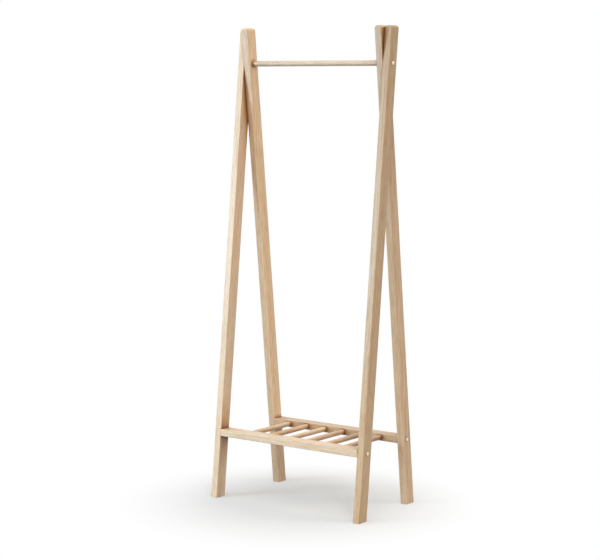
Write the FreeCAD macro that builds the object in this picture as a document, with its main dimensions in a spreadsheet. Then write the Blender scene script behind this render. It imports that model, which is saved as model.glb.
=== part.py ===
import FreeCAD
import Part
import Sketcher
import os

# Open frame wardrobe: two side frames of crossed battens, held apart by a round hanging rail at the
# crossings and by a low shelf of round rods. +X runs along the hanging rail, -Y is the front and +Z is
# up; the origin is on the floor, midway between the four feet.

# Driving sizes, in millimetres and degrees
SIZES = {
    # The frame
    "total_height": 1700.0,
    "outer_width": 660.0,
    "top_rise": 128.0,
    "lean_angle": 6.07,
    "shelf_height": 238.0,
    # The batten that the legs and the shelf rails are cut from
    "batten_width": 48.0,
    "batten_thickness": 26.0,
    "edge_radius": 2.5,
    "top_chamfer": 4.0,
    "foot_chamfer": 1.0,
    # The round rail and rods
    "rail_diameter": 20.0,
    "rod_diameter": 18.0,
    "rod_count": 6,
    "rod_margin": 73.0,
    "rod_socket": 18.0,
    "glue_gap": 0.1,
    # The bolts
    "bolt_diameter": 6.0,
    "bolt_clearance": 0.3,
    "bolt_engagement": 15.0,
    "head_overhang": 3.5,
    "head_height": 3.0,
    "head_bevel": 0.5,
    "socket_width": 4.0,
    "socket_depth": 2.0,
    # What the bolts screw into
    "thread_gap": 0.1,
    "insert_wall": 1.9,
    "insert_spare": 5.0,
    "insert_recess": 1.0,
    "nut_wall": 1.9,
    "nut_length": 18.0,
    "nut_setback": 36.0,
    "nut_gap": 0.1,
    "slot_width": 1.6,
    "slot_depth": 1.5,
}

# Lengths worked out from the driving sizes
LEAN = "tan(Sizes.lean_angle * 1 deg)"
HALF_SLANT = "(Sizes.batten_width / 2 / cos(Sizes.lean_angle * 1 deg))"
CROSSING = "(Sizes.total_height - Sizes.top_rise)"
SHELF_DROP = "(Sizes.total_height - Sizes.top_rise - Sizes.shelf_height)"
SHELF_REACH = "(" + SHELF_DROP + " * " + LEAN + ")"
OUTER_FACE = "(Sizes.outer_width / 2)"
MIDDLE_FACE = "(Sizes.outer_width / 2 - Sizes.batten_thickness)"
INNER_FACE = "(Sizes.outer_width / 2 - 2 * Sizes.batten_thickness)"
ROD_PITCH = "(2 * (" + INNER_FACE + " - Sizes.rod_margin) / (Sizes.rod_count - 1))"
ROD_LENGTH = "(2 * " + SHELF_REACH + " - Sizes.batten_width + 2 * Sizes.rod_socket - 2 * Sizes.glue_gap)"
BOLT_HOLE = "(Sizes.bolt_diameter + 2 * Sizes.bolt_clearance)"
HEAD_RADIUS = "(Sizes.bolt_diameter / 2 + Sizes.head_overhang)"
THREAD_HOLE = "(Sizes.bolt_diameter + 2 * Sizes.thread_gap)"
INSERT_DIAMETER = "(" + THREAD_HOLE + " + 2 * Sizes.insert_wall)"
INSERT_LENGTH = "(Sizes.bolt_engagement + Sizes.insert_spare)"
CROSSING_BOLT = "(2 * Sizes.batten_thickness + Sizes.insert_recess + Sizes.bolt_engagement)"
NUT_DIAMETER = "(" + THREAD_HOLE + " + 2 * Sizes.nut_wall)"
SHELF_BOLT = "(Sizes.batten_thickness + Sizes.nut_setback + Sizes.bolt_diameter / 2)"

# Two edges closer than this count as lying in one plane
TOUCH = 0.001

doc = FreeCAD.newDocument("OpenFrameWardrobe")


def make_sheet():
    """Write each driving size to a cell of the sheet, under its own alias."""
    sheet = doc.addObject("Spreadsheet::Sheet", "Sizes")
    for row, (alias, value) in enumerate(SIZES.items(), start=1):
        cell = "A{}".format(row)
        sheet.set(cell, str(value))
        sheet.setAlias(cell, alias)
    doc.recompute()


def make_body(label, x="0", y="0", z="0", turned=False):
    """Start a sub-part at a place given by expressions; turned faces it the other way about Z."""
    body = doc.addObject("PartDesign::Body", label)
    body.Label = label
    half_turn = 180 if turned else 0
    body.Placement = FreeCAD.Placement(FreeCAD.Vector(), FreeCAD.Rotation(FreeCAD.Vector(0, 0, 1), half_turn))
    for axis, expression in (("x", x), ("y", y), ("z", z)):
        body.setExpression("Placement.Base." + axis, expression)
    return body


def origin_part(body, role):
    """Find one of the body's own origin planes or axes."""
    return next(feature for feature in body.Origin.OriginFeatures if feature.Role == role)


def make_sketch(body, name, plane, lift="0"):
    """Start a sketch on one of the body's origin planes, lifted along the plane's normal."""
    sketch = body.newObject("Sketcher::SketchObject", body.Label + "_" + name)
    sketch.AttachmentSupport = (origin_part(body, plane), [""])
    sketch.MapMode = "FlatFace"
    sketch.setExpression("AttachmentOffset.Base.z", lift)
    return sketch


def place_point(sketch, geometry, point, across, up):
    """Hold a point of the sketch at two distances from the sketch's origin."""
    for kind, expression in (("DistanceX", across), ("DistanceY", up)):
        index = sketch.addConstraint(Sketcher.Constraint(kind, -1, 1, geometry, point, 1.0))
        sketch.setExpression("Constraints[{}]".format(index), expression)


def draw_polygon(sketch, corners):
    """Draw a closed outline through corners given as pairs of expressions."""
    count = len(corners)
    turn = FreeCAD.Rotation(FreeCAD.Vector(0, 0, 1), 360.0 / count)
    start = FreeCAD.Vector(1, 0, 0)
    for _ in corners:
        end = turn.multVec(start)
        sketch.addGeometry(Part.LineSegment(start, end), False)
        start = end
    for index, (across, up) in enumerate(corners):
        sketch.addConstraint(Sketcher.Constraint("Coincident", index, 2, (index + 1) % count, 1))
        place_point(sketch, index, 1, across, up)


def draw_rectangle(sketch, width, height):
    """Draw a rectangle centred on the sketch's origin."""
    left, right = "-" + width + " / 2", width + " / 2"
    low, high = "-" + height + " / 2", height + " / 2"
    draw_polygon(sketch, [(left, low), (right, low), (right, high), (left, high)])


def draw_circle(sketch, diameter, across="0", up="0"):
    """Draw a circle of a given diameter at a given place."""
    normal = FreeCAD.Vector(0, 0, 1)
    circle = sketch.addGeometry(Part.Circle(FreeCAD.Vector(), normal, 1.0), False)
    index = sketch.addConstraint(Sketcher.Constraint("Diameter", circle, 2.0))
    sketch.setExpression("Constraints[{}]".format(index), diameter)
    place_point(sketch, circle, 3, across, up)


def add_pad(body, name, sketch, length, side="One side", reverse=False):
    """Pad a sketch to a length."""
    pad = body.newObject("PartDesign::Pad", body.Label + "_" + name)
    pad.Profile = sketch
    pad.SideType = side
    pad.Reversed = reverse
    pad.setExpression("Length", length)
    doc.recompute()
    return pad


def add_pocket(body, name, sketch, depth=None, reverse=False):
    """Cut a sketch to a depth, or right through both ways, and see that it did cut."""
    before = body.Shape.Volume
    pocket = body.newObject("PartDesign::Pocket", body.Label + "_" + name)
    pocket.Profile = sketch
    pocket.Reversed = reverse
    if depth is None:
        pocket.SideType = "Symmetric"
        pocket.Type = "ThroughAll"
    else:
        pocket.setExpression("Length", depth)
    doc.recompute()
    if body.Shape.Volume > before - TOUCH:
        raise RuntimeError(pocket.Label + " cuts nothing")
    return pocket


def ends_box(edge):
    """The box that holds an edge's end points."""
    box = FreeCAD.BoundBox()
    for vertex in edge.Vertexes:
        box.add(vertex.Point)
    return box


def add_edge_feature(body, kind, name, size_name, size, wanted):
    """Add a Fillet or Chamfer to those edges of the body's last shape whose ends are wanted."""
    base = body.Tip
    names = ["Edge{}".format(i) for i, edge in enumerate(base.Shape.Edges, start=1) if wanted(ends_box(edge))]
    feature = body.newObject("PartDesign::" + kind, body.Label + "_" + name)
    feature.Base = (base, names)
    feature.setExpression(size_name, size)
    doc.recompute()
    return feature


def add_mirror(body, name, originals, plane):
    """Repeat features on the other side of one of the body's origin planes."""
    mirror = body.newObject("PartDesign::Mirrored", body.Label + "_" + name)
    mirror.Originals = originals
    mirror.MirrorPlane = (origin_part(body, plane), [""])
    body.Tip = mirror
    doc.recompute()


def make_leg(label, x, lean_sign):
    """A leg in its frame of the crossing bolt: a level-cut batten that leans one way.

    Its top and foot are chamfered, its long edges are rounded, and two holes go through it: one for
    the crossing bolt and one for the bolt of the shelf rail.
    """
    body = make_body(label, x=x, z=CROSSING)
    slope = lean_sign + LEAN
    foot_centre = slope + " * -" + CROSSING
    top_centre = slope + " * Sizes.top_rise"
    outline = make_sketch(body, "outline", "YZ_Plane")
    draw_polygon(outline, [
        (foot_centre + " - " + HALF_SLANT, "-" + CROSSING),
        (foot_centre + " + " + HALF_SLANT, "-" + CROSSING),
        (top_centre + " + " + HALF_SLANT, "Sizes.top_rise"),
        (top_centre + " - " + HALF_SLANT, "Sizes.top_rise"),
    ])
    box = add_pad(body, "batten", outline, "Sizes.batten_thickness").Shape.BoundBox
    add_edge_feature(body, "Chamfer", "top_edge", "Size", "Sizes.top_chamfer",
                     lambda ends: ends.ZMin > box.ZMax - TOUCH)
    add_edge_feature(body, "Chamfer", "foot_edge", "Size", "Sizes.foot_chamfer",
                     lambda ends: ends.ZMax < box.ZMin + TOUCH)
    add_edge_feature(body, "Fillet", "long_edges", "Radius", "Sizes.edge_radius",
                     lambda ends: ends.ZLength > box.ZLength / 2)
    holes = make_sketch(body, "holes", "YZ_Plane")
    draw_circle(holes, BOLT_HOLE)
    draw_circle(holes, BOLT_HOLE, slope + " * -" + SHELF_DROP, "-" + SHELF_DROP)
    add_pocket(body, "bolt_holes", holes)
    return body


def make_hanging_rail():
    """The round rail, bored at both ends for the inserts."""
    body = make_body("hanging_rail", z=CROSSING)
    section = make_sketch(body, "section", "YZ_Plane")
    draw_circle(section, "Sizes.rail_diameter")
    add_pad(body, "dowel", section, "2 * " + INNER_FACE, side="Symmetric")
    seat = make_sketch(body, "insert_seat", "YZ_Plane", lift=INNER_FACE)
    draw_circle(seat, INSERT_DIAMETER + " + 2 * Sizes.glue_gap")
    seat_cut = add_pocket(body, "insert_hole", seat, "Sizes.insert_recess + " + INSERT_LENGTH)
    add_mirror(body, "other_end", [seat_cut], "YZ_Plane")
    return body


def make_shelf_rail(label, y, half_length, turned):
    """A batten laid flat, with rod sockets along its inner side and a barrel nut hole at each end."""
    body = make_body(label, y=y, z="Sizes.shelf_height", turned=turned)
    section = make_sketch(body, "section", "YZ_Plane")
    draw_rectangle(section, "Sizes.batten_width", "Sizes.batten_thickness")
    pad = add_pad(body, "batten", section, "2 * " + half_length, side="Symmetric")
    long_edge = pad.Shape.BoundBox.XLength - TOUCH
    add_edge_feature(body, "Fillet", "eased_edges", "Radius", "Sizes.edge_radius",
                     lambda ends: ends.XLength > long_edge)
    socket = make_sketch(body, "rod_socket", "XZ_Plane", lift="Sizes.batten_width / 2")
    draw_circle(socket, "Sizes.rod_diameter + 2 * Sizes.glue_gap", "Sizes.rod_margin - " + INNER_FACE)
    first_socket = add_pocket(body, "first_socket", socket, "Sizes.rod_socket")
    row = body.newObject("PartDesign::LinearPattern", label + "_socket_row")
    row.Originals = [first_socket]
    row.Direction = (origin_part(body, "X_Axis"), [""])
    row.Mode = "Spacing"
    row.setExpression("Offset", ROD_PITCH)
    row.setExpression("Occurrences", "Sizes.rod_count")
    body.Tip = row
    doc.recompute()
    nut_place = half_length + " - Sizes.nut_setback"
    nut_hole = make_sketch(body, "nut_hole", "XY_Plane", lift="-Sizes.batten_thickness / 2")
    draw_circle(nut_hole, NUT_DIAMETER + " + 2 * Sizes.nut_gap", nut_place)
    bolt_bore = make_sketch(body, "bolt_bore", "YZ_Plane", lift=half_length)
    draw_circle(bolt_bore, BOLT_HOLE)
    nut_depth = "(Sizes.batten_thickness + Sizes.nut_length) / 2"
    cuts = [
        add_pocket(body, "nut_cut", nut_hole, nut_depth, reverse=True),
        add_pocket(body, "bolt_cut", bolt_bore, "Sizes.nut_setback"),
    ]
    add_mirror(body, "other_end", cuts, "YZ_Plane")
    return body


def make_rod(number):
    """A shelf rod, let into both shelf rails."""
    place = "({} - (Sizes.rod_count + 1) / 2) * {}".format(number, ROD_PITCH)
    body = make_body("shelf_rod_{}".format(number), x=place, z="Sizes.shelf_height")
    section = make_sketch(body, "section", "XZ_Plane")
    draw_circle(section, "Sizes.rod_diameter")
    add_pad(body, "dowel", section, ROD_LENGTH, side="Symmetric")
    return body


def make_bolt(label, length, x, y, z, turned):
    """A bolt with a bevelled round head outwards and a hexagon socket in the head."""
    body = make_body(label, x=x, y=y, z=z, turned=turned)
    shank, tip = "Sizes.bolt_diameter / 2", "-" + length
    half_section = make_sketch(body, "half_section", "XZ_Plane")
    draw_polygon(half_section, [
        (tip, "0"),
        ("Sizes.head_height", "0"),
        ("Sizes.head_height", HEAD_RADIUS + " - Sizes.head_bevel"),
        ("Sizes.head_height - Sizes.head_bevel", HEAD_RADIUS),
        ("0", HEAD_RADIUS),
        ("0", shank),
        (tip, shank),
    ])
    turning = body.newObject("PartDesign::Revolution", label + "_turning")
    turning.Profile = half_section
    turning.ReferenceAxis = (origin_part(body, "X_Axis"), [""])
    doc.recompute()
    hexagon = make_sketch(body, "hexagon", "YZ_Plane", lift="Sizes.head_height")
    flat, point = "Sizes.socket_width / 2", "Sizes.socket_width / sqrt(3)"
    draw_polygon(hexagon, [
        (point, "0"), (point + " / 2", flat), ("-" + point + " / 2", flat),
        ("-" + point, "0"), ("-" + point + " / 2", "-" + flat), (point + " / 2", "-" + flat),
    ])
    add_pocket(body, "socket", hexagon, "Sizes.socket_depth")
    return body


def make_insert(label, x, turned):
    """A threaded sleeve, sunk a little into one end of the hanging rail."""
    body = make_body(label, x=x, z=CROSSING, turned=turned)
    section = make_sketch(body, "section", "YZ_Plane")
    draw_circle(section, INSERT_DIAMETER)
    draw_circle(section, THREAD_HOLE)
    add_pad(body, "sleeve", section, INSERT_LENGTH, reverse=True)
    return body


def make_barrel_nut(label, x, y):
    """An upright barrel nut with a cross hole for the bolt and a driver slot in its lower end."""
    body = make_body(label, x=x, y=y, z="Sizes.shelf_height")
    section = make_sketch(body, "section", "XY_Plane")
    draw_circle(section, NUT_DIAMETER)
    add_pad(body, "barrel", section, "Sizes.nut_length", side="Symmetric")
    thread = make_sketch(body, "thread", "YZ_Plane")
    draw_circle(thread, THREAD_HOLE)
    add_pocket(body, "cross_hole", thread)
    slot = make_sketch(body, "slot", "XY_Plane", lift="-Sizes.nut_length / 2")
    draw_rectangle(slot, NUT_DIAMETER, "Sizes.slot_width")
    add_pocket(body, "driver_slot", slot, "Sizes.slot_depth", reverse=True)
    return body


def make_side(side, sign, turned):
    """The legs and hardware of one side; sign points its outer face along X."""
    outer, inner = sign + OUTER_FACE, sign + INNER_FACE
    front, back = "-" + SHELF_REACH, SHELF_REACH
    outer_leg = sign + MIDDLE_FACE if not turned else outer
    inner_leg = inner if not turned else sign + MIDDLE_FACE
    insert_place = inner + (" + " if turned else " - ") + "Sizes.insert_recess"
    front_nut = sign + "(" + MIDDLE_FACE + " - Sizes.nut_setback)"
    back_nut = sign + "(" + INNER_FACE + " - Sizes.nut_setback)"
    return [
        make_leg("front_{}_leg".format(side), outer_leg, ""),
        make_leg("back_{}_leg".format(side), inner_leg, "-"),
        make_bolt("{}_crossing_bolt".format(side), CROSSING_BOLT, outer, "0", CROSSING, turned),
        make_insert("{}_rail_insert".format(side), insert_place, turned),
        make_bolt("front_{}_shelf_bolt".format(side), SHELF_BOLT, outer, front, "Sizes.shelf_height", turned),
        make_bolt("back_{}_shelf_bolt".format(side), SHELF_BOLT, sign + MIDDLE_FACE, back,
                  "Sizes.shelf_height", turned),
        make_barrel_nut("front_{}_barrel_nut".format(side), front_nut, front),
        make_barrel_nut("back_{}_barrel_nut".format(side), back_nut, back),
    ]


def check(nodes):
    """Stop if any object failed or any sub-part is not one valid solid."""
    failed = [item.Name for item in doc.Objects if {"Invalid", "Error"} & set(item.State)]
    if failed:
        raise RuntimeError("failed objects: " + ", ".join(failed))
    for node in nodes:
        if node.Shape.isNull() or not node.Shape.isValid() or len(node.Shape.Solids) != 1:
            raise RuntimeError(node.Label + " is not one valid solid")


make_sheet()
nodes = make_side("left", "-", turned=True) + make_side("right", "", turned=False)
nodes.append(make_hanging_rail())
nodes.append(make_shelf_rail("shelf_front_rail", "-" + SHELF_REACH, MIDDLE_FACE, turned=True))
nodes.append(make_shelf_rail("shelf_back_rail", SHELF_REACH, INNER_FACE, turned=False))
nodes += [make_rod(number) for number in range(1, SIZES["rod_count"] + 1)]
doc.recompute()
check(nodes)

os.makedirs("parts", exist_ok=True)
for node in nodes:
    node.Shape.exportStep("parts/" + node.Label + ".step")
    print(node.Label, "volume", round(node.Shape.Volume, 1), "mm3")
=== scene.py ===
"""Looks of the open frame wardrobe, and the studio that shows it.

Lengths are in metres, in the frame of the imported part: +X along the hanging rail, -Y to the front and
+Z up, with the origin on the floor midway between the feet.
"""
import logging
import math
from dataclasses import dataclass, field
from enum import Enum

import bmesh
import bpy
from mathutils import Matrix, Vector


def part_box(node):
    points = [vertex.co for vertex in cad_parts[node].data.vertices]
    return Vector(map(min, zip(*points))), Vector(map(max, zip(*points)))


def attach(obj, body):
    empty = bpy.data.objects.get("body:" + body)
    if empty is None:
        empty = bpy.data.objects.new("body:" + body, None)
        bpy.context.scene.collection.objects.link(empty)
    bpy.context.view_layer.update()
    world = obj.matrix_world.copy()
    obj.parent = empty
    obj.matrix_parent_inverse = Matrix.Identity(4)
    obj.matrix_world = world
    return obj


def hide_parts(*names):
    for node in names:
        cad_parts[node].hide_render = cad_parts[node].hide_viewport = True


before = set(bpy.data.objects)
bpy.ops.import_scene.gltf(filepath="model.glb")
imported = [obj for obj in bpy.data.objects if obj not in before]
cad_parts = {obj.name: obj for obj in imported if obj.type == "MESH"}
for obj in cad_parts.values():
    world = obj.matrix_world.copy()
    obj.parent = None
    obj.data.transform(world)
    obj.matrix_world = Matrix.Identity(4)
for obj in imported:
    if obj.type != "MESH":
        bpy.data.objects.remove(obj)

LOG = logging.getLogger("open_frame_wardrobe")
Colour = tuple[float, float, float]
Profile = list[tuple[float, float]]


class Slot(Enum):
    """The record's material slots."""

    BATTEN = "batten_wood"
    DOWEL = "dowel_wood"
    ZINC = "zinc_steel"


class Side(Enum):
    """The two side frames, by the way that their outer faces point along X."""

    LEFT = -1
    RIGHT = 1


class Row(Enum):
    """The two rows of feet, by the way that they stand from the middle along Y."""

    FRONT = -1
    BACK = 1


class Mark(Enum):
    """What each mesh carries for its finish."""

    ARRIS = "arris"
    AXIS = "grain_axis"
    GRAIN = "grain_place"
    MATING = "mating"
    TINT = "tint"


# Helpers for meshes


def show_mesh(name: str, shape: bmesh.types.BMesh) -> bpy.types.Object:
    """Turn a finished shape into an object of the scene.

    Args:
        name: Name of the object and of its mesh.
        shape: The shape, which is freed.

    Returns:
        The new object.
    """
    bmesh.ops.recalc_face_normals(shape, faces=shape.faces)
    mesh = bpy.data.meshes.new(name)
    shape.to_mesh(mesh)
    shape.free()
    piece = bpy.data.objects.new(name, mesh)
    bpy.context.scene.collection.objects.link(piece)
    return piece


def lathe(profile: Profile, sides: int) -> bmesh.types.BMesh:
    """Turn a profile about Z into a closed solid.

    Args:
        profile: Height and radius of each ring, from one end to the other.
        sides: Number of sides of each ring.

    Returns:
        The turned shape, closed by a flat face at each end.
    """
    shape = bmesh.new()
    rings = []
    for height, radius in profile:
        ring = []
        for step in range(sides):
            angle = math.tau * step / sides
            ring.append(shape.verts.new((radius * math.cos(angle), radius * math.sin(angle), height)))
        rings.append(ring)
    for low, high in zip(rings, rings[1:]):
        for step in range(sides):
            after = (step + 1) % sides
            shape.faces.new((low[step], low[after], high[after], high[step]))
    shape.faces.new(rings[0])
    shape.faces.new(rings[-1])
    return shape


def settle(piece: bpy.types.Object) -> None:
    """Put an object's mesh in the shape that its modifiers give it."""
    depsgraph = bpy.context.evaluated_depsgraph_get()
    shaped = bpy.data.meshes.new_from_object(piece.evaluated_get(depsgraph))
    piece.modifiers.clear()
    piece.data = shaped


def smooth(piece: bpy.types.Object, crease: float = 32.0) -> None:
    """Shade an object smooth, apart from edges that turn by more than an angle in degrees."""
    mesh = piece.data
    mesh.polygons.foreach_set("use_smooth", [True] * len(mesh.polygons))
    mesh.set_sharp_from_angle(angle=math.radians(crease))
    normals = piece.modifiers.new("even_normals", "WEIGHTED_NORMAL")
    normals.keep_sharp = True


# Helpers for shader nodes


@dataclass
class NodeBench:
    """Lays out the nodes of one material or group."""

    tree: bpy.types.NodeTree

    def add(self, kind: str, settings: dict | None = None, **inputs: object) -> bpy.types.Node:
        """Place a node.

        Args:
            kind: The node's type without its ShaderNode prefix.
            settings: Properties of the node.
            **inputs: Sockets by name, with _ for a space, each given a value or an output to link.

        Returns:
            The new node.
        """
        node = self.tree.nodes.new("ShaderNode" + kind)
        for name, value in (settings or {}).items():
            setattr(node, name, value)
        for name, value in inputs.items():
            self.feed(node.inputs[name.replace("_", " ")], value)
        return node

    def feed(self, socket: bpy.types.NodeSocket, value: object) -> None:
        """Link an output to a socket, or set the socket's own value."""
        if isinstance(value, bpy.types.NodeSocket):
            self.tree.links.new(value, socket)
        elif isinstance(value, tuple) and socket.type == "RGBA":
            socket.default_value = (*value, 1.0)
        else:
            socket.default_value = value

    def maths(self, operation: str, *values: object, clamp: bool = False) -> bpy.types.NodeSocket:
        """Work out a number from others.

        Args:
            operation: The Math node's operation.
            *values: Numbers or outputs, in the order of the node's sockets.
            clamp: Whether the result is held between 0 and 1.

        Returns:
            The result's output.
        """
        node = self.add("Math", {"operation": operation, "use_clamp": clamp})
        for socket, value in zip(node.inputs, values):
            self.feed(socket, value)
        return node.outputs[0]

    def stretch(self, place: bpy.types.NodeSocket, scale: Colour) -> bpy.types.NodeSocket:
        """Scale a place along each axis."""
        node = self.add("VectorMath", {"operation": "MULTIPLY"})
        self.feed(node.inputs[0], place)
        self.feed(node.inputs[1], scale)
        return node.outputs[0]

    def noise(
        self, place: bpy.types.NodeSocket, detail: float, roughness: float = 0.5
    ) -> bpy.types.NodeSocket:
        """Fractal noise at a place that is already scaled."""
        node = self.add("TexNoise", Vector=place, Scale=1.0, Detail=detail, Roughness=roughness)
        return node.outputs["Fac"]

    def ramp(self, value: object, low: float, high: float) -> bpy.types.NodeSocket:
        """Ease a value from 0 at low to 1 at high."""
        node = self.add("MapRange", {"interpolation_type": "SMOOTHSTEP"}, Value=value)
        self.feed(node.inputs["From Min"], low)
        self.feed(node.inputs["From Max"], high)
        return node.outputs["Result"]

    def mix(self, share: object, first: object, second: object, blend: str = "MIX") -> bpy.types.NodeSocket:
        """Blend two colours.

        Args:
            share: How much of the second is used.
            first: Colour or output.
            second: Colour or output.
            blend: The Mix node's blend type.

        Returns:
            The blended colour's output.
        """
        node = self.add("Mix", {"data_type": "RGBA", "blend_type": blend})
        self.feed(node.inputs["Factor"], share)
        self.feed(node.inputs[6], first)
        self.feed(node.inputs[7], second)
        return node.outputs[2]

    def mark(self, name: Mark, output: str) -> bpy.types.NodeSocket:
        """Read what the mesh carries under a name."""
        return self.add("Attribute", {"attribute_name": name.value}).outputs[output]


@dataclass
class EffectGroup:
    """A shader node group with named inputs and outputs."""

    name: str
    tree: bpy.types.NodeTree = field(init=False)
    bench: NodeBench = field(init=False)

    def __post_init__(self) -> None:
        """Start the empty group."""
        self.tree = bpy.data.node_groups.new(self.name, "ShaderNodeTree")
        self.bench = NodeBench(self.tree)

    def declare(self, name: str, way: str, kind: str) -> None:
        """Add a socket to the group's face, with a space for each _ of its name."""
        spaced = name.replace("_", " ")
        self.tree.interface.new_socket(spaced, in_out=way, socket_type="NodeSocket" + kind)

    def take(self, **kinds: str) -> dict[str, bpy.types.NodeSocket]:
        """Args:
            **kinds: Socket type without its NodeSocket prefix, by name with _ for a space.

        Returns:
            The input node's outputs by the same names.
        """
        for name, kind in kinds.items():
            self.declare(name, "INPUT", kind)
        node = self.tree.nodes.new("NodeGroupInput")
        return {name: node.outputs[name.replace("_", " ")] for name in kinds}

    def give(self, **values: bpy.types.NodeSocket) -> None:
        for name in values:
            self.declare(name, "OUTPUT", "Float")
        node = self.tree.nodes.new("NodeGroupOutput")
        for name, value in values.items():
            self.bench.feed(node.inputs[name.replace("_", " ")], value)

    def place(self, bench: NodeBench, **inputs: object) -> bpy.types.Node:
        """Use the group in a material."""
        return bench.add("Group", {"node_tree": self.tree}, **inputs)


def make_timber_group() -> EffectGroup:
    """The figure of timber whose grain runs along Z: rings, fibres, pores, streaks, mottling and blush.

    Returns:
        A group that gives Ring, Fibre, Pore, Streak, Mottle and Blush, each from 0 to 1.
    """
    group = EffectGroup("timber_figure")
    bench = group.bench
    inputs = group.take(Place="Vector", Ring_Width="Float")
    place = inputs["Place"]
    drift = bench.noise(bench.stretch(place, (9.0, 9.0, 1.6)), 2.0)
    ripple = bench.noise(bench.stretch(place, (60.0, 60.0, 5.0)), 2.0)
    from_pith = bench.add("VectorMath", {"operation": "LENGTH"})
    bench.feed(from_pith.inputs[0], bench.stretch(place, (1.0, 1.0, 0.0)))
    wander = bench.maths("MULTIPLY_ADD", drift, 0.020, from_pith.outputs["Value"])
    radius = bench.maths("MULTIPLY_ADD", ripple, 0.0016, wander)
    phase = bench.maths("FRACT", bench.maths("DIVIDE", radius, inputs["Ring_Width"]))
    rise = bench.ramp(phase, 0.0, 0.16)
    fall = bench.maths("SUBTRACT", 1.0, bench.ramp(phase, 0.30, 1.0))
    ring = bench.maths("MULTIPLY", rise, fall)
    fibre = bench.noise(bench.stretch(place, (520.0, 520.0, 7.0)), 4.0, 0.62)
    grit = bench.noise(bench.stretch(place, (1500.0, 1500.0, 42.0)), 1.0)
    early = bench.maths("MULTIPLY_ADD", ring, 0.07, grit)
    pore = bench.ramp(early, 0.62, 0.74)
    streak = bench.noise(bench.stretch(place, (170.0, 170.0, 20.0)), 3.0, 0.55)
    mottle = bench.noise(bench.stretch(place, (34.0, 34.0, 2.6)), 3.0)
    blush = bench.ramp(bench.noise(bench.stretch(place, (48.0, 48.0, 7.0)), 2.0), 0.40, 0.62)
    group.give(Ring=ring, Fibre=fibre, Pore=pore, Streak=streak, Mottle=mottle, Blush=blush)
    return group


def make_wear_and_highlight_group() -> EffectGroup:
    """Rubbing along edges, broken up by noise; on the wood the lighter edges are partly real rubbing and partly a
    painted highlight.

    Returns:
        A group that gives Wear, from 0 to 1.
    """
    group = EffectGroup("edge_wear_and_highlight")
    bench = group.bench
    inputs = group.take(Place="Vector", Edge="Float", Amount="Float", Patch="Float")
    scaled = bench.add("VectorMath", {"operation": "SCALE"})
    bench.feed(scaled.inputs[0], inputs["Place"])
    bench.feed(scaled.inputs["Scale"], inputs["Patch"])
    patches = bench.ramp(bench.noise(scaled.outputs[0], 4.0, 0.6), 0.38, 0.66)
    worn_and_highlight = bench.maths("MULTIPLY", inputs["Edge"], bench.maths("MULTIPLY_ADD", patches, 0.7, 0.3))
    group.give(Wear=bench.maths("MULTIPLY", worn_and_highlight, inputs["Amount"], clamp=True))
    return group


def make_painted_shade_group() -> EffectGroup:
    """Painted shade in the joints between pieces, darker where nearby pieces hide more of the surroundings.

    Returns:
        A group that gives Shade, from 0 in the open to 1 where nearby pieces hide the most.
    """
    group = EffectGroup("painted_joint_shade")
    bench = group.bench
    inputs = group.take(Place="Vector", Reach="Float", Amount="Float")
    # Painted shade: the share of the surroundings that nearby pieces hide within the reach.
    open_share = bench.add("AmbientOcclusion", {"samples": 8}, Distance=inputs["Reach"]).outputs["AO"]
    closed = bench.maths("SUBTRACT", 1.0, open_share)
    uneven = bench.noise(bench.stretch(inputs["Place"], (90.0, 90.0, 24.0)), 3.0)
    painted_darkening = bench.maths("MULTIPLY", closed, bench.maths("ADD", uneven, 0.5))
    group.give(Shade=bench.maths("MULTIPLY", painted_darkening, inputs["Amount"], clamp=True))
    return group


# Finishes


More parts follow.
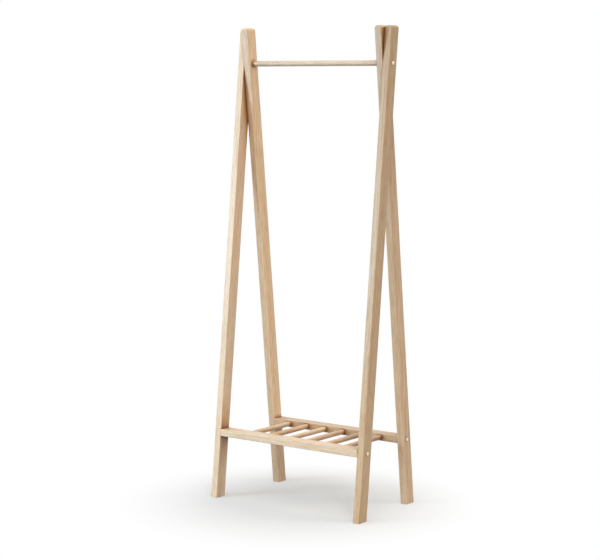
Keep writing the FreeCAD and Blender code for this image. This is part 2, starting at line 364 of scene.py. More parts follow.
@dataclass(frozen=True)
class WoodFinish:
    """Pale ring-porous wood with a matt oiled face."""

    name: str
    slot: Slot
    pale: Colour
    mid: Colour
    dark: Colour
    pore: Colour
    blush: Colour
    # Lighter colour of the rounded edges: partly real rubbing, partly a painted highlight.
    worn_and_highlight: Colour
    # Colour that the painted shade in joints and creases darkens towards.
    painted_shade: Colour
    ring_width: float
    ring_depth: float
    gloss: float
    relief: float = 0.00022

    def material(self, timber: EffectGroup, wear: EffectGroup, painted_shade: EffectGroup) -> bpy.types.Material:
        """Make the finish.

        Args:
            timber: The figure of the wood.
            wear: Rubbing along the edges, lighter partly from real rubbing and partly as a painted highlight.
            painted_shade: The painted shade in the joints.

        Returns:
            The material, whose grain runs along each piece's own Z.
        """
        material = bpy.data.materials.new(self.name)
        material.use_nodes = True
        material.node_tree.nodes.clear()
        bench = NodeBench(material.node_tree)
        place = bench.mark(Mark.GRAIN, "Vector")
        figure = timber.place(bench, Place=place, Ring_Width=self.ring_width)
        ring, fibre = figure.outputs["Ring"], figure.outputs["Fibre"]
        pore, mottle = figure.outputs["Pore"], figure.outputs["Mottle"]
        edge = bench.mark(Mark.ARRIS, "Fac")
        edge_lightening = wear.place(bench, Place=place, Edge=edge, Amount=0.55, Patch=55.0)
        # Painted shade over a wide reach, on faces that meet another piece and under rods.
        painted_darkening = painted_shade.place(bench, Place=place, Reach=0.15, Amount=3.2).outputs["Shade"]
        painted_darkening = bench.maths("MULTIPLY", painted_darkening, bench.mark(Mark.MATING, "Fac"))
        # Painted shade along creases, over a short reach, on every face.
        crease = painted_shade.place(bench, Place=place, Reach=0.014, Amount=2.6).outputs["Shade"]
        shade = bench.maths("MULTIPLY", ring, self.ring_depth)
        shade = bench.maths("MULTIPLY_ADD", bench.maths("SUBTRACT", figure.outputs["Streak"], 0.5), 1.6, shade)
        shade = bench.maths("MULTIPLY_ADD", bench.maths("SUBTRACT", fibre, 0.5), 1.1, shade)
        shade = bench.maths("MULTIPLY_ADD", bench.maths("SUBTRACT", mottle, 0.5), 0.9, shade)
        shade = bench.maths("ADD", shade, 0.30, clamp=True)
        tones = bench.add("ValToRGB", Fac=shade)
        stops = tones.color_ramp.elements
        stops[0].color = (*self.pale, 1.0)
        stops[1].color = (*self.dark, 1.0)
        stops.new(0.5).color = (*self.mid, 1.0)
        colour = bench.mix(figure.outputs["Blush"], tones.outputs["Color"], self.blush, "MULTIPLY")
        colour = bench.mix(bench.maths("MULTIPLY", pore, 0.42), colour, self.pore)
        # Lighter rounded edges: partly real rubbing, partly a painted highlight.
        colour = bench.mix(edge_lightening.outputs["Wear"], colour, self.worn_and_highlight)
        facing = bench.add("VectorMath", {"operation": "DOT_PRODUCT"})
        bench.feed(facing.inputs[0], bench.add("NewGeometry").outputs["Normal"])
        bench.feed(facing.inputs[1], bench.mark(Mark.AXIS, "Vector"))
        end_grain = bench.ramp(bench.maths("ABSOLUTE", facing.outputs["Value"]), 0.80, 0.97)
        colour = bench.mix(bench.maths("MULTIPLY", end_grain, 0.34), colour, self.dark, "MULTIPLY")
        # Each board's colour scale: partly its own tone, partly painted light and shade.
        colour = bench.mix(1.0, colour, bench.mark(Mark.TINT, "Color"), "MULTIPLY")
        # Darken the colour with both painted shades.
        colour = bench.mix(painted_darkening, colour, self.painted_shade, "MULTIPLY")
        colour = bench.mix(crease, colour, self.painted_shade, "MULTIPLY")
        rough = bench.maths("MULTIPLY_ADD", fibre, 0.16, self.gloss)
        rough = bench.maths("MULTIPLY_ADD", pore, 0.12, rough)
        rough = bench.maths("MULTIPLY_ADD", end_grain, 0.14, rough, clamp=True)
        height = bench.maths("MULTIPLY_ADD", pore, -0.8, bench.maths("MULTIPLY", fibre, 0.5))
        height = bench.maths("MULTIPLY_ADD", ring, -0.25, height)
        bump = bench.add("Bump", Strength=0.55, Distance=self.relief, Height=height)
        surface = bench.add("BsdfPrincipled", Base_Color=colour, Roughness=rough,
                            Normal=bump.outputs["Normal"])
        bench.add("OutputMaterial", Surface=surface.outputs["BSDF"])
        return material


@dataclass(frozen=True)
class ZincFinish:
    """Bright zinc plate with turning marks and scuffed rims."""

    name: str
    slot: Slot
    plate: Colour
    dull: Colour
    bare: Colour
    gloss: float
    relief: float = 0.00004

    def material(self, wear: EffectGroup) -> bpy.types.Material:
        """Make the finish.

        Args:
            wear: Rubbing along the rims.

        Returns:
            The material, whose turning marks run round each piece's own Z.
        """
        material = bpy.data.materials.new(self.name)
        material.use_nodes = True
        material.node_tree.nodes.clear()
        bench = NodeBench(material.node_tree)
        place = bench.add("TexCoord").outputs["Object"]
        across = bench.add("VectorMath", {"operation": "LENGTH"})
        bench.feed(across.inputs[0], bench.stretch(bench.mark(Mark.GRAIN, "Vector"), (1.0, 1.0, 0.0)))
        turned = bench.add("CombineXYZ", X=bench.maths("MULTIPLY", across.outputs["Value"], 5200.0))
        marks = bench.noise(turned.outputs["Vector"], 3.0, 0.7)
        clouds = bench.noise(bench.stretch(place, (420.0, 420.0, 420.0)), 4.0, 0.6)
        edge = bench.mark(Mark.ARRIS, "Fac")
        edge_lightening = wear.place(bench, Place=place, Edge=edge, Amount=0.7, Patch=700.0)
        colour = bench.mix(bench.ramp(clouds, 0.35, 0.7), self.plate, self.dull)
        colour = bench.mix(edge_lightening.outputs["Wear"], colour, self.bare)
        rough = bench.maths("MULTIPLY_ADD", clouds, 0.16, self.gloss)
        rough = bench.maths("MULTIPLY_ADD", marks, 0.10, rough, clamp=True)
        height = bench.maths("MULTIPLY_ADD", clouds, 0.3, marks)
        bump = bench.add("Bump", Strength=0.4, Distance=self.relief, Height=height)
        surface = bench.add("BsdfPrincipled", Base_Color=colour, Metallic=1.0, Roughness=rough,
                            Normal=bump.outputs["Normal"])
        bench.add("OutputMaterial", Surface=surface.outputs["BSDF"])
        return material


@dataclass(frozen=True)
class Board:
    """What makes one piece of wood differ from the next.

    Its figure comes from where it was sawn from the tree. Its colour is scaled partly by the board's own tone
    and partly by painted light and shade. That scale may change evenly along its length, up to a share of it at
    the far end, which is painted light and shade that follows how the light falls along the piece. Its narrow
    sides may have another share of it, partly the tone of edge grain and partly painted light and shade.
    """

    sawn_at: Colour
    tint: Colour = (1.0, 1.0, 1.0)
    # Painted light and shade along the piece: the colour scale's share at the far end.
    far_end_painted_light: float = 1.0
    # Narrow sides' share: partly the tone of edge grain, partly painted light and shade.
    narrow_tone_and_painted_light: float = 1.0

    def figure(self, mesh: bpy.types.Mesh) -> list[float]:
        """Where each point of a mesh was in the tree."""
        sawn_at = Vector(self.sawn_at)
        return [value for vertex in mesh.vertices for value in vertex.co + sawn_at]

    def tones(self, mesh: bpy.types.Mesh) -> list[float]:
        """Tint at each point of a mesh that lies along its own Z, with its narrow sides across Y.

        Args:
            mesh: The mesh, before it is moved to its place.

        Returns:
            Red, green, blue and alpha of each point in turn.
        """
        touch = 0.00001
        near = min(vertex.co.z for vertex in mesh.vertices)
        far = max(vertex.co.z for vertex in mesh.vertices)
        narrow_at = max(vertex.co.y for vertex in mesh.vertices) - touch
        tones = []
        for vertex in mesh.vertices:
            share = 1.0 + (self.far_end_painted_light - 1.0) * (vertex.co.z - near) / (far - near)
            if abs(vertex.co.y) > narrow_at:
                share *= self.narrow_tone_and_painted_light
            tones.extend((*(share * value for value in self.tint), 1.0))
        return tones


def carry(
    piece: bpy.types.Object, place: Matrix, board: Board, arris: list[float], mating: list[float]
) -> None:
    """Write on a mesh what its finish reads, then move the mesh to its place.

    Args:
        piece: The object, whose mesh lies along its own Z.
        place: Where that mesh goes in the shared frame.
        board: The piece of wood that it is cut from.
        arris: How far each point is into a rounded edge, from 0 to 1.
        mating: How much of the painted shade in joints each point takes, from 0 to 1.
    """
    mesh = piece.data
    count = len(mesh.vertices)
    axis = tuple(place.to_3x3().col[2])
    for name, kind, key, values in (
        (Mark.ARRIS, "FLOAT", "value", arris),
        (Mark.AXIS, "FLOAT_VECTOR", "vector", axis * count),
        (Mark.GRAIN, "FLOAT_VECTOR", "vector", board.figure(mesh)),
        (Mark.MATING, "FLOAT", "value", mating),
        (Mark.TINT, "FLOAT_COLOR", "color", board.tones(mesh)),
    ):
        mesh.attributes.new(name.value, kind, "POINT").data.foreach_set(key, values)
    mesh.transform(place)


def dress(piece: bpy.types.Object, node: str, material: bpy.types.Material) -> None:
    """Give a piece its finish and let it stand for its node.

    Args:
        piece: The object, in place.
        node: The node that it stands for.
        material: The finish itself.
    """
    piece.data.materials.clear()
    piece.data.materials.append(material)
    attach(piece, "root")
    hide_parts(node)
    LOG.info("%s: %d faces", piece.name, len(piece.data.polygons))


# The frame's sizes


@dataclass(frozen=True)
class FrameSizes:
    """Sizes that more than one piece takes its place from."""

    height: float = 1.700
    half_width: float = 0.330
    crossing: float = 1.572
    lean: float = math.radians(6.07)
    shelf: float = 0.238
    width: float = 0.048
    thickness: float = 0.026
    bolt_hole: float = 0.0033

    @property
    def shelf_reach(self) -> float:
        """How far the shelf rails lie from the middle."""
        return (self.crossing - self.shelf) * math.tan(self.lean)

    def leg_middle(self, row: Row) -> float:
        """Distance of a leg's middle from the middle of the frame, along X."""
        inset = 0.5 if row is Row.FRONT else 1.5
        return self.half_width - inset * self.thickness

    def rail_end(self, row: Row) -> float:
        """Distance of a shelf rail's end from the middle of the frame, along X."""
        return self.leg_middle(row) - self.thickness / 2


SIZES = FrameSizes()


@dataclass(frozen=True)
class Hole:
    """A round hole, drilled from its mouth.

    The direction points into the wood. A flare eases the mouth.
    """

    mouth: Vector
    direction: Vector
    radius: float
    depth: float
    flare: float = 0.0

    def cutter(self, name: str) -> bpy.types.Object:
        """Make the hidden solid that cuts the hole, in the frame of the piece."""
        proud = 0.001
        shape = lathe([
            (-proud, self.radius + self.flare + proud * bool(self.flare)),
            (self.flare, self.radius),
            (self.depth, self.radius),
        ], 48)
        turn = self.direction.to_track_quat("Z", "Y").to_matrix().to_4x4()
        bmesh.ops.transform(shape, matrix=Matrix.Translation(self.mouth) @ turn, verts=shape.verts)
        return show_mesh(name, shape)


@dataclass
class Batten:
    """A planed batten along its own Z, with its width along Y and its thickness along X.

    Each end is cut on a plane whose height rises with Y by a slope. The painted shade side is the way that the
    face against another batten points along X, or 0 where every face meets something. Painted shade in joints
    falls on that face, at the batten's painted shade level.
    """

    node: str
    place: Matrix
    foot: float
    top: float
    slope: float
    board: Board
    foot_radius: float
    top_radius: float
    arris_radius: float = 0.0025
    painted_shade_side: int = 0
    painted_shade_level: float = 1.0
    holes: list[Hole] = field(default_factory=list)

    def end_height(self, at_top: bool, across: float) -> float:
        """Height of an end cut at a place across the width."""
        return (self.top if at_top else self.foot) + self.slope * across

    def blank(self) -> bmesh.types.BMesh:
        """Saw the batten to length, and mark how far each edge is rounded.

        Returns:
            A box of six faces whose edges carry their share of the largest radius.
        """
        shape = bmesh.new()
        share = shape.edges.layers.float.new("bevel_weight_edge")
        corners = {}
        for at_top in (False, True):
            for y_sign in (-1, 1):
                for x_sign in (-1, 1):
                    y = y_sign * SIZES.width / 2
                    x = x_sign * SIZES.thickness / 2
                    corners[at_top, y_sign, x_sign] = shape.verts.new((x, y, self.end_height(at_top, y)))
        round_about = ((-1, -1), (-1, 1), (1, 1), (1, -1))
        for at_top in (False, True):
            shape.faces.new([corners[at_top, y, x] for y, x in round_about])
        for here, after in zip(round_about, round_about[1:] + round_about[:1]):
            foot_edge = (corners[False, *here], corners[False, *after])
            top_edge = (corners[True, *after], corners[True, *here])
            shape.faces.new(foot_edge + top_edge)
        tops = {corner for key, corner in corners.items() if key[0]}
        for edge in shape.edges:
            ends_on_top = sum(corner in tops for corner in edge.verts)
            radius = (self.foot_radius, self.arris_radius, self.top_radius)[ends_on_top]
            edge[share] = radius / self.largest_radius
        return shape

    @property
    def largest_radius(self) -> float:
        """The largest of the three edge radii."""
        return max(self.foot_radius, self.arris_radius, self.top_radius)

    def arris(self, point: Vector) -> float:
        """How far a point is into a rounded edge: 0 on a flat face, 1 in the middle of an edge."""
        sink = min(
            SIZES.thickness / 2 - abs(point.x),
            SIZES.width / 2 - abs(point.y),
            self.end_height(True, point.y) - point.z,
            point.z - self.end_height(False, point.y),
        )
        middle = (1 - math.sqrt(0.5)) * self.arris_radius
        in_hole = sink > 2 * self.largest_radius
        return 0.0 if in_hole else min(max(sink / middle, 0.0), 1.0)

    def mating(self, point: Vector) -> float:
        """How much painted shade in joints a point takes: the batten's level on a face that meets another piece,
        else 0.
        """
        touch = 0.00001
        meets = not self.painted_shade_side or self.painted_shade_side * point.x > SIZES.thickness / 2 - touch
        return self.painted_shade_level * meets

    def build(self, material: bpy.types.Material) -> bpy.types.Object:
        """Make the batten and dress it.

        Args:
            material: Its finish.

        Returns:
            The finished piece.
        """
        piece = show_mesh("batten_" + self.node, self.blank())
        rounding = piece.modifiers.new("rounding", "BEVEL")
        rounding.limit_method = "WEIGHT"
        rounding.width = self.largest_radius
        rounding.segments = 5
        cutters = []
        for number, hole in enumerate(self.holes):
            cutters.append(hole.cutter(f"cutter_{self.node}_{number}"))
            drill = piece.modifiers.new("drill", "BOOLEAN")
            drill.object = cutters[-1]
            drill.operation = "DIFFERENCE"
            drill.solver = "EXACT"
        settle(piece)
        for cutter in cutters:
            bpy.data.objects.remove(cutter)
        smooth(piece)
        arris = [self.arris(vertex.co) for vertex in piece.data.vertices]
        mating = [self.mating(vertex.co) for vertex in piece.data.vertices]
        carry(piece, self.place, self.board, arris, mating)
        dress(piece, self.node, material)
        return piece


@dataclass
class SideFrame:
    """Two legs that cross face to face at the hanging rail."""

    side: Side
    boards: dict[Row, Board]
    top_radius: float = 0.0090
    foot_radius: float = 0.0010

    def leg(self, row: Row) -> Batten:
        """One leg, in a frame whose origin is where the crossing bolt passes its middle."""
        tilt = row.value * SIZES.lean
        middle = Vector((self.side.value * SIZES.leg_middle(row), 0.0, SIZES.crossing))
        bolt_drop = (SIZES.crossing - SIZES.shelf) / math.cos(tilt)
        through = Vector((self.side.value, 0.0, 0.0))
        mouths = [Vector((0.0, 0.0, 0.0)), Vector((0.0, 0.0, -bolt_drop))]
        start = -through * SIZES.thickness / 2
        depth = SIZES.thickness + 0.001
        return Batten(
            node=f"{row.name}_{self.side.name}_leg".lower(),
            place=Matrix.Translation(middle) @ Matrix.Rotation(tilt, 4, "X"),
            foot=-SIZES.crossing / math.cos(tilt),
            top=(SIZES.height - SIZES.crossing) / math.cos(tilt),
            slope=-math.tan(tilt),
            board=self.boards[row],
            foot_radius=self.foot_radius,
            top_radius=self.top_radius,
            painted_shade_side=self.side.value * row.value,
            holes=[Hole(mouth + start, through, SIZES.bolt_hole, depth) for mouth in mouths],
        )

    def build(self, material: bpy.types.Material) -> None:
        """Make both legs."""
        for row in Row:
            self.leg(row).build(material)


@dataclass
class Dowel:
    """A round rod along its own Z, a little uneven as sanded rods are."""

    node: str
    place: Matrix
    radius: float
    length: float
    board: Board
    end_bevel: float = 0.0006
    unevenness: float = 0.00004
    ring_step: float = 0.012
    sides: int = 56
    # Painted shade on rods: weakest on top, strongest underneath.
    painted_shade_on_top: float = 0.4
    painted_shade_below: float = 1.0

    def mating(self, point: Vector) -> float:
        """How much painted shade in joints a point takes: least on top and most on the underside, as painted shade
        under the rod.
        """
        height = (self.place.to_3x3() @ point).z / self.radius
        below = min(max((1.0 - height) / 2, 0.0), 1.0)
        return self.painted_shade_on_top + (self.painted_shade_below - self.painted_shade_on_top) * below

    def build(self, material: bpy.types.Material) -> bpy.types.Object:
        """Make the rod and dress it.

        Args:
            material: Its finish.

        Returns:
            The finished piece.
        """
        half = self.length / 2
        full = half - self.end_bevel
        steps = round(2 * full / self.ring_step)
        rings = [(-full + 2 * full * step / steps, self.radius) for step in range(steps + 1)]
        worn_end = self.radius - self.end_bevel
        shape = lathe([(-half, worn_end), *rings, (half, worn_end)], self.sides)
        for vertex in shape.verts:
            angle = math.atan2(vertex.co.y, vertex.co.x)
            swell = math.sin(3 * angle + 21.0 * vertex.co.z) + math.sin(2 * angle - 47.0 * vertex.co.z)
            sink = self.unevenness * (swell - 2.0) / 2
            vertex.co.xy *= 1 + sink / self.radius
        piece = show_mesh("dowel_" + self.node, shape)
        smooth(piece)
        arris = [float(abs(vertex.co.z) > full) for vertex in piece.data.vertices]
        mating = [self.mating(vertex.co) for vertex in piece.data.vertices]
        carry(piece, self.place, self.board, arris, mating)
        dress(piece, self.node, material)
        return piece


@dataclass
class Shelf:
    """Two battens laid flat, with round rods let into their facing sides."""

    rail_boards: dict[Row, Board]
    rod_boards: list[Board]
    rod_radius: float = 0.009
    rod_margin: float = 0.073
    socket_gap: float = 0.0001
    socket_depth: float = 0.018
    socket_flare: float = 0.0005
    nut_radius: float = 0.0051
    nut_setback: float = 0.036
    nut_depth: float = 0.022
    end_radius: float = 0.0004
    # Share of the painted shade in joints that the rails take.
    rail_painted_shade: float = 0.65

    def rod_places(self) -> list[float]:
        """Where the rods lie along X."""
        reach = SIZES.rail_end(Row.BACK) - self.rod_margin
        gaps = len(self.rod_boards) - 1
        return [-reach + 2 * reach * number / gaps for number in range(gaps + 1)]

    def rail(self, row: Row) -> Batten:
        """One rail, whose own X, Y and Z are the frame's -Z, Y and X."""
        end = SIZES.rail_end(row)
        y = row.value * SIZES.shelf_reach
        turn = Matrix(((0, 0, 1), (0, 1, 0), (-1, 0, 0))).to_4x4()
        inward = Vector((0.0, -row.value, 0.0))
        up = Vector((-1.0, 0.0, 0.0))
        holes = []
        socket_radius = self.rod_radius + self.socket_gap
        for x in self.rod_places():
            mouth = inward * SIZES.width / 2 + Vector((0.0, 0.0, x))
            holes.append(Hole(mouth, -inward, socket_radius, self.socket_depth, self.socket_flare))
        for side in Side:
            along = Vector((0.0, 0.0, side.value))
            holes.append(Hole(along * end, -along, SIZES.bolt_hole, self.nut_setback))
            nut_place = along * (end - self.nut_setback) - up * SIZES.thickness / 2
            holes.append(Hole(nut_place, up, self.nut_radius, self.nut_depth, 0.0003))
        return Batten(
            node=f"shelf_{row.name}_rail".lower(),
            place=Matrix.Translation((0.0, y, SIZES.shelf)) @ turn,
            foot=-end,
            top=end,
            slope=0.0,
            board=self.rail_boards[row],
            foot_radius=self.end_radius,
            top_radius=self.end_radius,
            painted_shade_level=self.rail_painted_shade,
            holes=holes,
        )

    def rod(self, number: int, x: float) -> Dowel:
        """One rod, whose own Z is the frame's Y."""
        node = f"shelf_rod_{number}"
        low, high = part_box(node)
        turn = Matrix.Rotation(-math.pi / 2, 4, "X")
        place = Matrix.Translation((x, 0.0, SIZES.shelf)) @ turn
        return Dowel(node, place, self.rod_radius, high.y - low.y, self.rod_boards[number - 1])

    def build(self, batten: bpy.types.Material, dowel: bpy.types.Material) -> None:
        """Make the rails and the rods.

        Args:
            batten: Finish of the rails.
            dowel: Finish of the rods.
        """
        for row in Row:
            self.rail(row).build(batten)
        for number, x in enumerate(self.rod_places(), start=1):
            self.rod(number, x).build(dowel)


@dataclass
class HangingRail:
    """The round rail between the crossings."""

    board: Board
    radius: float = 0.010

    def build(self, material: bpy.types.Material) -> None:
        """Make the rail, whose own Z is the frame's X."""
        low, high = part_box("hanging_rail")
        place = Matrix.Translation((0.0, 0.0, SIZES.crossing)) @ Matrix.Rotation(math.pi / 2, 4, "Y")
        Dowel("hanging_rail", place, self.radius, high.x - low.x, self.board).build(material)


@dataclass
class Bolt:
    """A connector bolt along its own Z, with its head up and the underside of the head at the origin."""

    node: str
    place: Matrix
    length: float
    head_radius: float = 0.0065
    head_height: float = 0.0030
    shank_radius: float = 0.0030
    socket_width: float = 0.0040
    socket_depth: float = 0.0020
    rim_radius: float = 0.0009
    crown: float = 0.00025
    tip_bevel: float = 0.0007

    def profile(self) -> Profile:
        """Height and radius of the turned outline, from the tip to the top of the head."""
        rim_base = self.head_height - self.crown - self.rim_radius
        outline = [
            (-self.length, self.shank_radius - self.tip_bevel),
            (-self.length + self.tip_bevel, self.shank_radius),
            (0.0, self.shank_radius),
            (0.0, self.head_radius - 0.0002),
            (0.0002, self.head_radius),
        ]
        flat = self.head_radius - self.rim_radius
        for step in range(7):
            angle = math.pi / 2 * step / 6
            rise = self.rim_radius * math.sin(angle)
            outline.append((rim_base + rise, flat + self.rim_radius * math.cos(angle)))
        for share in (0.75, 0.5):
            outline.append((self.head_height - self.crown * share ** 2, flat * share))
        return outline

    def socket_cutter(self) -> bpy.types.Object:
        """Make the hidden six-sided solid that cuts the socket, with an eased mouth."""
        points = self.socket_width / math.sqrt(3)
        lead = 0.0002
        shape = lathe([
            (self.head_height - self.socket_depth, points),
            (self.head_height - lead, points),
            (self.head_height + lead, points + 2 * lead),
        ], 6)
        return show_mesh("cutter_" + self.node, shape)

    def build(self, material: bpy.types.Material) -> bpy.types.Object:
        """Make the bolt and dress it.

        Args:
            material: Its finish.

        Returns:
            The finished piece.
        """
        piece = show_mesh("fixing_" + self.node, lathe(self.profile(), 64))
        cutter = self.socket_cutter()
        broach = piece.modifiers.new("socket", "BOOLEAN")
        broach.object = cutter
        broach.operation = "DIFFERENCE"
        broach.solver = "EXACT"
        settle(piece)
        bpy.data.objects.remove(cutter)
        smooth(piece)
        rim = [self.rim(vertex.co) for vertex in piece.data.vertices]
        carry(piece, self.place, Board((0.0, 0.0, 0.0)), rim, [0.0] * len(rim))
        dress(piece, self.node, material)
        return piece

    def rim(self, point: Vector) -> float:
        """How near a point is to the rounded rim of the head."""
        across = math.hypot(point.x, point.y)
        inside = self.head_radius - across
        return float(point.z > 0.0 and 0.0 < inside < self.rim_radius)


@dataclass
class Fixings:
    """The bolts of both side frames, and the nuts and inserts that they screw into."""

    hidden: tuple[str, ...] = ("rail_insert", "barrel_nut")

    def bolt(self, node: str, side: Side) -> Bolt:
        """One bolt, placed by its node's box with its head outwards."""
        low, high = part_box(node)
        turn = Matrix.Rotation(side.value * math.pi / 2, 4, "Y")
        head = Bolt.head_height
        outer = high.x - head if side is Side.RIGHT else low.x + head
        middle = (low + high) / 2
        place = Matrix.Translation((outer, middle.y, middle.z)) @ turn
        return Bolt(node, place, high.x - low.x - head)

    def build(self, material: bpy.types.Material) -> None:
        """Make the bolts, and finish the nuts and inserts."""
        for side in Side:
            name = side.name.lower()
            for node in (f"{name}_crossing_bolt", f"front_{name}_shelf_bolt", f"back_{name}_shelf_bolt"):
                self.bolt(node, side).build(material)
        for node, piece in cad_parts.items():
            if node.endswith(self.hidden):
                piece.data.materials.clear()
                piece.data.materials.append(material)
                LOG.info("%s: finish only", node)


# The studio


def pointing(azimuth: float, elevation: float) -> Vector:
    """Unit direction from angles in degrees, where azimuth 0 is the front and 90 the right."""
    a, e = math.radians(azimuth), math.radians(elevation)
    return Vector((math.sin(a) * math.cos(e), -math.cos(a) * math.cos(e), math.sin(e)))


@dataclass(frozen=True)
class Glow:
    """A broad patch of soft light on the dome of the studio."""

    azimuth: float
    elevation: float
    sharpness: float
    strength: float
    colour: Colour = (1.0, 1.0, 1.0)

    def lay(
        self, bench: NodeBench, direction: bpy.types.NodeSocket, above: bpy.types.NodeSocket
    ) -> bpy.types.NodeSocket:
        """Make the patch's light.

        Args:
            bench: Where the world's nodes are laid out.
            direction: The way that the dome is seen.
            above: 1 above the horizon and 0 below it.

        Returns:
            The light's output, which fades with the angle from the middle of the patch.
        """
        near = bench.add("VectorMath", {"operation": "DOT_PRODUCT"})
        bench.feed(near.inputs[0], direction)
        bench.feed(near.inputs[1], pointing(self.azimuth, self.elevation))
        share = bench.maths("POWER", bench.maths("MAXIMUM", near.outputs["Value"], 0.0), self.sharpness)
        level = bench.maths("MULTIPLY", bench.maths("MULTIPLY", share, above), self.strength)
        return bench.add("Background", Color=self.colour, Strength=level).outputs["Background"]


@dataclass(frozen=True)
class Softbox:
    """A square area lamp that looks at the frame."""

    name: str
    azimuth: float
    elevation: float
    distance: float
    size: float
    power: float
    colour: Colour
    aim: Colour = (0.0, 0.0, 0.8)

    def build(self) -> None:
        """Hang the lamp."""
        back = pointing(self.azimuth, self.elevation)
        lamp = bpy.data.lights.new(self.name, "AREA")
        lamp.size = self.size
        lamp.energy = self.power
        lamp.color = self.colour
        hung = bpy.data.objects.new(self.name, lamp)
        bpy.context.scene.collection.objects.link(hung)
        hung.location = Vector(self.aim) + back * self.distance
        hung.rotation_euler = back.to_track_quat("Z", "Y").to_euler()


@dataclass(frozen=True)
class PhotoCamera:
    """The camera of the photograph, found from the edges of the legs."""

    azimuth: float = 37.110
    elevation: float = 6.517
    distance: float = 6.3190
    target: Colour = (-0.06706, 0.0, 0.79863)
    focal_pixels: float = 1755.79
    image_width: float = 600.0
    sensor: float = 36.0

    def build(self) -> None:
        """Place the camera and make it the scene's."""
        back = pointing(self.azimuth, self.elevation)
        optics = bpy.data.cameras.new("photo_camera")
        optics.sensor_fit = "HORIZONTAL"
        optics.sensor_width = self.sensor
        optics.lens = self.focal_pixels / self.image_width * self.sensor
        optics.clip_end = 100.0
        camera = bpy.data.objects.new("photo_camera", optics)
        bpy.context.scene.collection.objects.link(camera)
        camera.location = Vector(self.target) + back * self.distance
        camera.rotation_euler = back.to_track_quat("Z", "Y").to_euler()
        bpy.context.scene.camera = camera


@dataclass
class Studio:
    """A white sweep under soft lamps."""

    lamps: list[Softbox]
    glows: list[Glow]
    ambient: float
    floor_colour: Colour = (0.705, 0.711, 0.711)
    sheet_bounce: Colour = (0.07, 0.07, 0.07)
    far_bounce: Colour = (0.12, 0.12, 0.12)
    floor_radius: float = 30.0
    painted_shadow_middle: Colour = (-0.03, -0.07, 0.0)
    fade_from: float = 0.20
    fade_to: float = 0.69

    def build_world(self) -> None:
        """Light from all round, seen as plain white behind the object."""
        world = bpy.data.worlds.new("studio_world")
        bpy.context.scene.world = world
        world.use_nodes = True
        world.node_tree.nodes.clear()
        bench = NodeBench(world.node_tree)
        path = bench.add("LightPath")
        seen = bench.maths("MAXIMUM", path.outputs["Is Camera Ray"], path.outputs["Is Glossy Ray"])
        seen = bench.maths("MAXIMUM", seen, path.outputs["Is Transmission Ray"])
        direction = bench.add("TexCoord").outputs["Generated"]
        height = bench.add("SeparateXYZ", Vector=direction).outputs["Z"]
        above = bench.maths("GREATER_THAN", height, 0.0)
        light = bench.add("Background", Color=(1.0, 1.0, 1.0), Strength=bench.maths("MULTIPLY", above, self.ambient))
        light = light.outputs["Background"]
        for glow in self.glows:
            more = bench.add("AddShader")
            bench.feed(more.inputs[0], light)
            bench.feed(more.inputs[1], glow.lay(bench, direction, above))
            light = more.outputs["Shader"]
        white = bench.add("Background", Color=(1.0, 1.0, 1.0), Strength=1.0)
        both = bench.add("MixShader", Fac=seen)
        bench.feed(both.inputs[1], light)
        bench.feed(both.inputs[2], white.outputs["Background"])
        bench.add("OutputWorld", Surface=both.outputs["Shader"])

    def build_floor(self) -> None:
        """A pale floor that keeps the shadow, greyer near its middle as a painted shadow patch, and fades into the
        white behind it.
        """
        shape = bmesh.new()
        bmesh.ops.create_circle(shape, cap_ends=True, segments=96, radius=self.floor_radius)
        floor = show_mesh("studio_floor", shape)
        floor.location = self.painted_shadow_middle
        material = bpy.data.materials.new("studio_floor")
        material.use_nodes = True
        material.node_tree.nodes.clear()
        bench = NodeBench(material.node_tree)
        place = bench.add("TexCoord").outputs["Object"]
        away = bench.add("VectorMath", {"operation": "LENGTH"})
        bench.feed(away.inputs[0], place)
        # Painted shadow: the floor is grey near its middle and turns to plain white outwards, over the real shadow
        # it keeps.
        far = bench.ramp(away.outputs["Value"], self.fade_from, self.fade_to)
        path = bench.add("LightPath")
        seen = bench.maths("MAXIMUM", path.outputs["Is Camera Ray"], path.outputs["Is Glossy Ray"])
        thrown_back = bench.mix(far, self.sheet_bounce, self.far_bounce)
        paper = bench.add("BsdfDiffuse", Color=bench.mix(seen, thrown_back, self.floor_colour))
        glow = bench.add("Emission", Color=(1.0, 1.0, 1.0), Strength=1.0)
        both = bench.add("MixShader", Fac=bench.maths("MULTIPLY", far, seen))
        bench.feed(both.inputs[1], paper.outputs["BSDF"])
        bench.feed(both.inputs[2], glow.outputs["Emission"])
        bench.add("OutputMaterial", Surface=both.outputs["Shader"])
        floor.data.materials.append(material)
        floor.visible_shadow = False

    def build(self) -> None:
        """Set up the world, the floor, the lamps and the view."""
        bpy.context.scene.view_settings.view_transform = "Standard"
        self.build_world()
        self.build_floor()
        for lamp in self.lamps:
            lamp.build()
            LOG.info("lamp %s", lamp.name)


BATTEN_WOOD = WoodFinish(
    name="oiled_batten_wood",
    slot=Slot.BATTEN,
    pale=(0.760, 0.580, 0.392),
    mid=(0.690, 0.505, 0.325),
    dark=(0.550, 0.375, 0.222),
    pore=(0.330, 0.200, 0.110),
    blush=(1.0, 0.950, 0.915),
    worn_and_highlight=(0.790, 0.610, 0.420),
    painted_shade=(0.58, 0.41, 0.26),
    ring_width=0.0034,
    ring_depth=0.34,
    gloss=0.28,
)

DOWEL_WOOD = WoodFinish(
    name="oiled_dowel_wood",
    slot=Slot.DOWEL,
    pale=(0.780, 0.612, 0.435),
    mid=(0.712, 0.530, 0.356),
    dark=(0.585, 0.408, 0.254),
    pore=(0.350, 0.220, 0.125),
    blush=(1.0, 0.950, 0.915),
    worn_and_highlight=(0.790, 0.620, 0.440),
    painted_shade=(0.58, 0.41, 0.26),
    ring_width=0.0030,
    ring_depth=0.30,
    gloss=0.30,
)

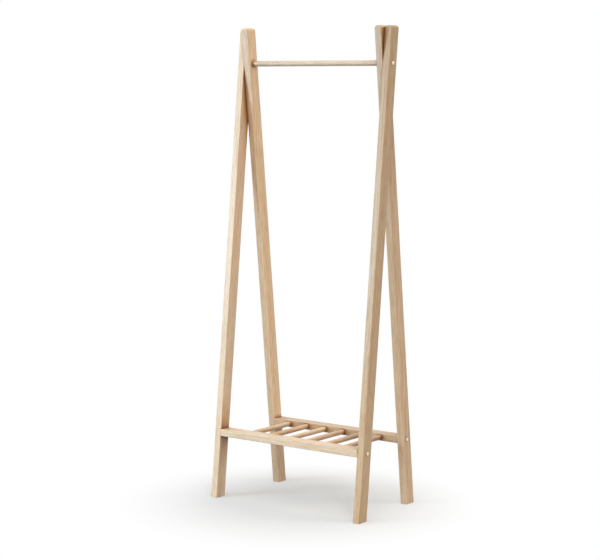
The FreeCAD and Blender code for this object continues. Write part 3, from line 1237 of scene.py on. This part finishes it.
BRIGHT_ZINC = ZincFinish(
    name="bright_zinc",
    slot=Slot.ZINC,
    plate=(0.88, 0.79, 0.64),
    dull=(0.74, 0.65, 0.52),
    bare=(0.92, 0.86, 0.76),
    gloss=0.18,
)

LAMPS = [
    Softbox("key_softbox", -37.0, 6.0, distance=5.0, size=1.2, power=106.0, colour=(0.573, 0.80, 1.0)),
    Softbox("edge_softbox", 47.0, 18.0, distance=6.0, size=1.4, power=80.0, colour=(1.0, 0.98, 0.95)),
    Softbox("side_softbox", 113.0, 38.0, distance=6.0, size=2.0, power=65.0, colour=(1.0, 0.80, 0.54)),
]

GLOWS = [
    Glow(0.0, 32.0, sharpness=4.0, strength=1.47, colour=(0.92, 0.97, 1.0)),
    Glow(60.0, 55.0, sharpness=4.0, strength=1.33, colour=(1.0, 0.98, 0.95)),
    Glow(-50.0, 45.0, sharpness=4.0, strength=0.26),
    Glow(190.0, 12.0, sharpness=5.0, strength=1.62, colour=(1.0, 0.98, 0.96)),
    Glow(-108.0, 10.0, sharpness=5.0, strength=1.20, colour=(1.0, 0.90, 0.76)),
]


def main() -> None:
    """Build every piece, then the studio."""
    logging.basicConfig(level=logging.INFO, format="%(message)s")
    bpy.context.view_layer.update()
    timber = make_timber_group()
    wear = make_wear_and_highlight_group()
    painted_shade = make_painted_shade_group()
    batten = BATTEN_WOOD.material(timber, wear, painted_shade)
    dowel = DOWEL_WOOD.material(timber, wear, painted_shade)
    zinc = BRIGHT_ZINC.material(wear)
    # Board colour scales are partly each board's tone and partly painted light and shade; the far end shares are
    # painted light and shade.
    SideFrame(Side.LEFT, {
        Row.FRONT: Board((0.061, 0.083, 0.31), (1.12, 1.14, 1.19)),
        Row.BACK: Board((-0.094, 0.040, 1.70), (1.20, 1.18, 1.15), narrow_tone_and_painted_light=0.80),
    }).build(batten)
    SideFrame(Side.RIGHT, {
        Row.FRONT: Board((0.038, -0.112, 3.20), (0.90, 0.85, 0.76), far_end_painted_light=0.80),
        Row.BACK: Board((0.120, 0.026, 4.90), (1.09, 1.05, 1.01), far_end_painted_light=0.76, narrow_tone_and_painted_light=0.90),
    }).build(batten)
    HangingRail(Board((0.070, 0.050, 6.10), (0.98, 1.06, 1.17))).build(dowel)
    Shelf(
        {Row.FRONT: Board((0.045, 0.140, 7.40), (1.05, 1.11, 1.20), narrow_tone_and_painted_light=1.08), Row.BACK: Board((-0.060, 0.095, 8.90), (0.89, 0.84, 0.79))},
        [
            Board((0.031, 0.052, 10.3), (0.99, 0.95, 0.90), far_end_painted_light=1.06),
            Board((-0.044, 0.018, 11.2), (0.93, 0.85, 0.77), far_end_painted_light=1.18),
            Board((0.012, -0.061, 12.6), (1.07, 1.06, 0.97), far_end_painted_light=1.08),
            Board((0.057, 0.024, 13.1), (1.01, 0.95, 0.85), far_end_painted_light=1.0),
            Board((-0.026, -0.043, 14.8), (1.04, 0.96, 0.88), far_end_painted_light=0.84),
            Board((0.040, -0.020, 15.5), (1.06, 0.99, 0.92), far_end_painted_light=0.74),
        ],
    ).build(batten, dowel)
    Fixings().build(zinc)
    Studio(LAMPS, GLOWS, ambient=0.05).build()
    PhotoCamera().build()


if __name__ == "__main__":
    main()
